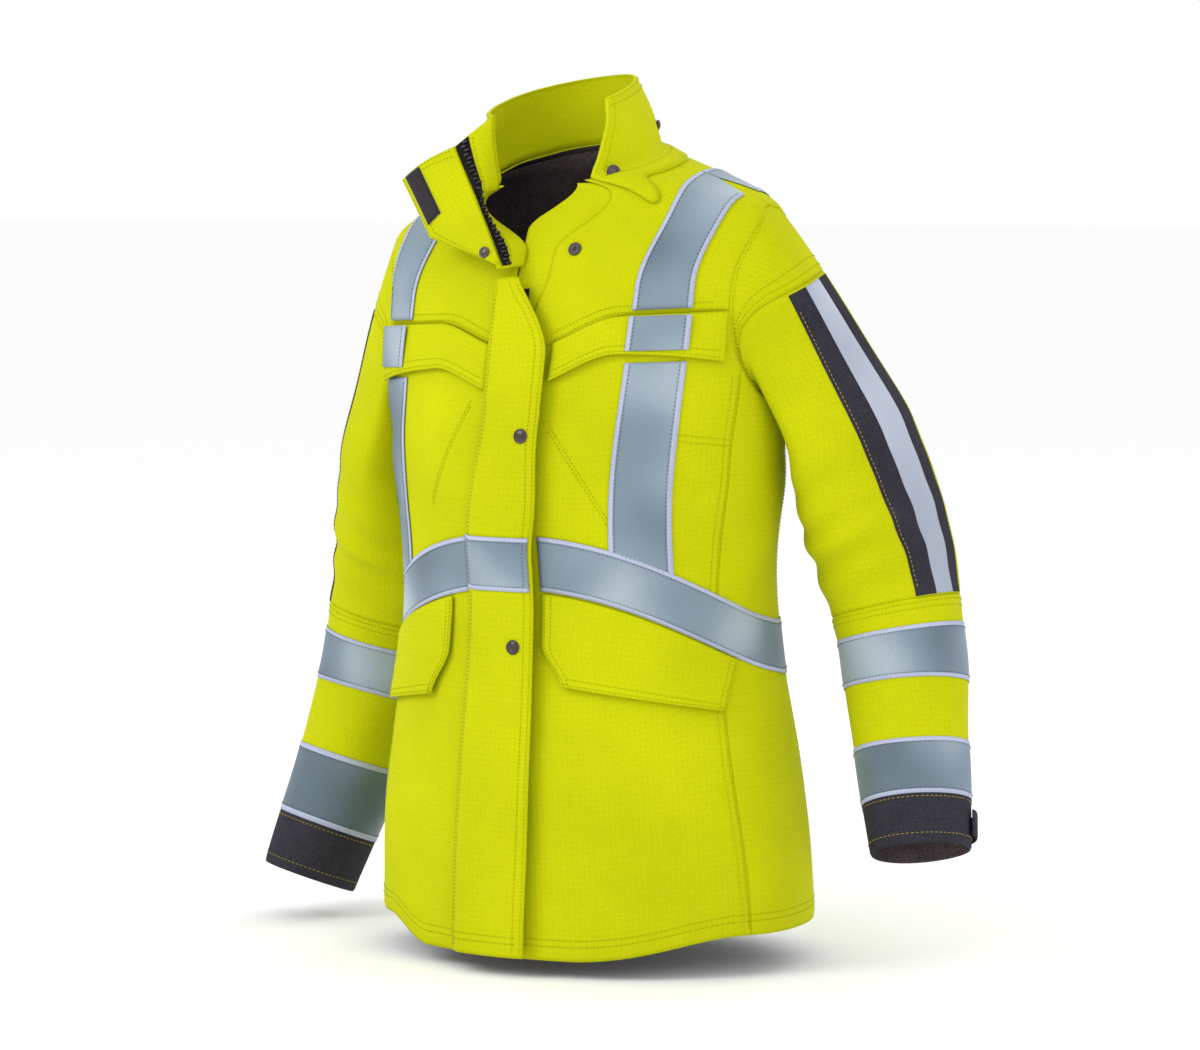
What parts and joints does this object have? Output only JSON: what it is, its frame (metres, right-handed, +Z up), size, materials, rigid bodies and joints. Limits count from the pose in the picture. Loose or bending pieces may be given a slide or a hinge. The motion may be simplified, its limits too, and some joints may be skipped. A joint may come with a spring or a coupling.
{
  "type": "turnout coat",
  "caption": "Women's high-visibility turnout coat in yellow fabric with reflective tapes, a storm flap over a zip, pocket lids, dark cuffs and a standing collar.",
  "frame": {"origin": "the hanger loop inside the back neck, where a hook holds the coat", "axes": "+X to the wearer's left, -Y to the front, +Z up"},
  "size_m": [0.7642, 0.331, 0.7988],
  "materials": {
    "yellow_shell": "fluorescent yellow ripstop weave",
    "dark_fabric": "charcoal twill",
    "lining": "dark heather plain weave",
    "reflective_tape": "grey glass-bead reflective tape with a paler edge",
    "stripe_tape": "pale segmented reflective transfer",
    "zip_fabric": "black woven zip tape",
    "zip_teeth": "moulded black",
    "zip_metal": "black enamelled",
    "snap": "brown-black enamelled",
    "hook_and_loop": "black hook and loop"
  },
  "bodies": {
    "coat": {"front_panel_left": "yellow_shell", "front_panel_right": "yellow_shell", "side_panel_left": "yellow_shell", "side_panel_right": "yellow_shell", "back_panel": "yellow_shell", "front_yoke_left": "yellow_shell", "front_yoke_right": "yellow_shell", "back_yoke": "yellow_shell", "body_lining": "lining", "collar": "yellow_shell", "neck_guard": "yellow_shell", "lapel_facing": "yellow_shell", "collar_loop_strip": "hook_and_loop", "collar_snap": "snap", "hanger_loop": "dark_fabric", "hood_snaps": "snap", "front_snap_sockets": "snap", "zip_tape": "zip_fabric", "zip_chain": "zip_teeth", "zip_open_teeth": "zip_teeth", "belt_tape": "reflective_tape", "chest_tape_left": "reflective_tape", "chest_tape_right": "reflective_tape", "back_tapes": "reflective_tape"},
    "left_arm": {"sleeve_cap_left": "yellow_shell", "upper_sleeve_left": "yellow_shell", "lower_sleeve_left": "yellow_shell", "sleeve_stripe_left": "stripe_tape", "sleeve_piping_left": "dark_fabric", "sleeve_tapes_left": "reflective_tape", "cuff_left": "dark_fabric"},
    "right_arm": {"sleeve_cap_right": "yellow_shell", "upper_sleeve_right": "yellow_shell", "lower_sleeve_right": "yellow_shell", "sleeve_stripe_right": "stripe_tape", "sleeve_piping_right": "dark_fabric", "sleeve_tapes_right": "reflective_tape", "cuff_right": "dark_fabric"},
    "left_cuff_strap": {"cuff_tab_left": "dark_fabric"},
    "right_cuff_strap": {"cuff_tab_right": "dark_fabric"},
    "front_flap": {"storm_flap": "yellow_shell", "storm_flap_snaps": "snap", "storm_flap_tape": "reflective_tape"},
    "wing": {"collar_wing": "yellow_shell", "wing_hook_patch": "hook_and_loop", "wing_snap": "snap"},
    "left_chest_lid": {"chest_flap_left": "yellow_shell", "chest_flap_tape_left": "reflective_tape"},
    "right_chest_lid": {"chest_flap_right": "yellow_shell", "chest_flap_tape_right": "reflective_tape"},
    "left_pocket_lid": {"pocket_flap_left": "yellow_shell"},
    "right_pocket_lid": {"pocket_flap_right": "yellow_shell"},
    "slider": {"zip_slider": "zip_metal", "zip_pull": "zip_metal"}
  },
  "joints": [
    {"name": "left_arm_raise", "type": "hinge", "parent": "coat", "child": "left_arm", "pos_m": [0.1964, -0.03937, -0.03734], "axis": [0, -1, 0], "range_deg": [0, 25]},
    {"name": "right_arm_raise", "type": "hinge", "parent": "coat", "child": "right_arm", "pos_m": [-0.1964, -0.03937, -0.06066], "axis": [0, 1, 0], "range_deg": [0, 25]},
    {"name": "left_cuff_strap_open", "type": "hinge", "parent": "left_arm", "child": "left_cuff_strap", "pos_m": [0.36636, 0.00485, -0.57411], "axis": [0.1598, -0.2577, -0.9529], "range_deg": [0, 60]},
    {"name": "right_cuff_strap_open", "type": "hinge", "parent": "right_arm", "child": "right_cuff_strap", "pos_m": [-0.38389, 0.00485, -0.64316], "axis": [0.2141, 0.2168, 0.9524], "range_deg": [0, 60]},
    {"name": "front_flap_open", "type": "hinge", "parent": "coat", "child": "front_flap", "pos_m": [-0.07386, -0.19728, -0.714], "axis": [-0.0553, -0.0378, -0.9978], "range_deg": [0, 100]},
    {"name": "wing_close", "type": "hinge", "parent": "coat", "child": "wing", "pos_m": [-0.084, -0.129, 0.016], "axis": [-0.5099, 0.1979, 0.8372], "range_deg": [0, 90]},
    {"name": "left_chest_lid_lift", "type": "hinge", "parent": "coat", "child": "left_chest_lid", "pos_m": [0.12037, -0.13337, -0.13546], "axis": [-0.9418, -0.3362, 0], "range_deg": [0, 100]},
    {"name": "right_chest_lid_lift", "type": "hinge", "parent": "coat", "child": "right_chest_lid", "pos_m": [-0.12048, -0.13332, -0.14731], "axis": [-0.9418, 0.3362, 0], "range_deg": [0, 100]},
    {"name": "left_pocket_lid_lift", "type": "hinge", "parent": "coat", "child": "left_pocket_lid", "pos_m": [0.10979, -0.14254, -0.40283], "axis": [-0.8691, -0.3961, 0.2962], "range_deg": [0, 100]},
    {"name": "right_pocket_lid_lift", "type": "hinge", "parent": "coat", "child": "right_pocket_lid", "pos_m": [-0.14798, -0.11913, -0.4199], "axis": [-0.7138, 0.5917, -0.3747], "range_deg": [0, 100]},
    {"name": "zip_slide", "type": "slide", "parent": "coat", "child": "slider", "axis": [0.0016, -0.2256, -0.9742], "range_m": [0, 0.08]}
  ]
}
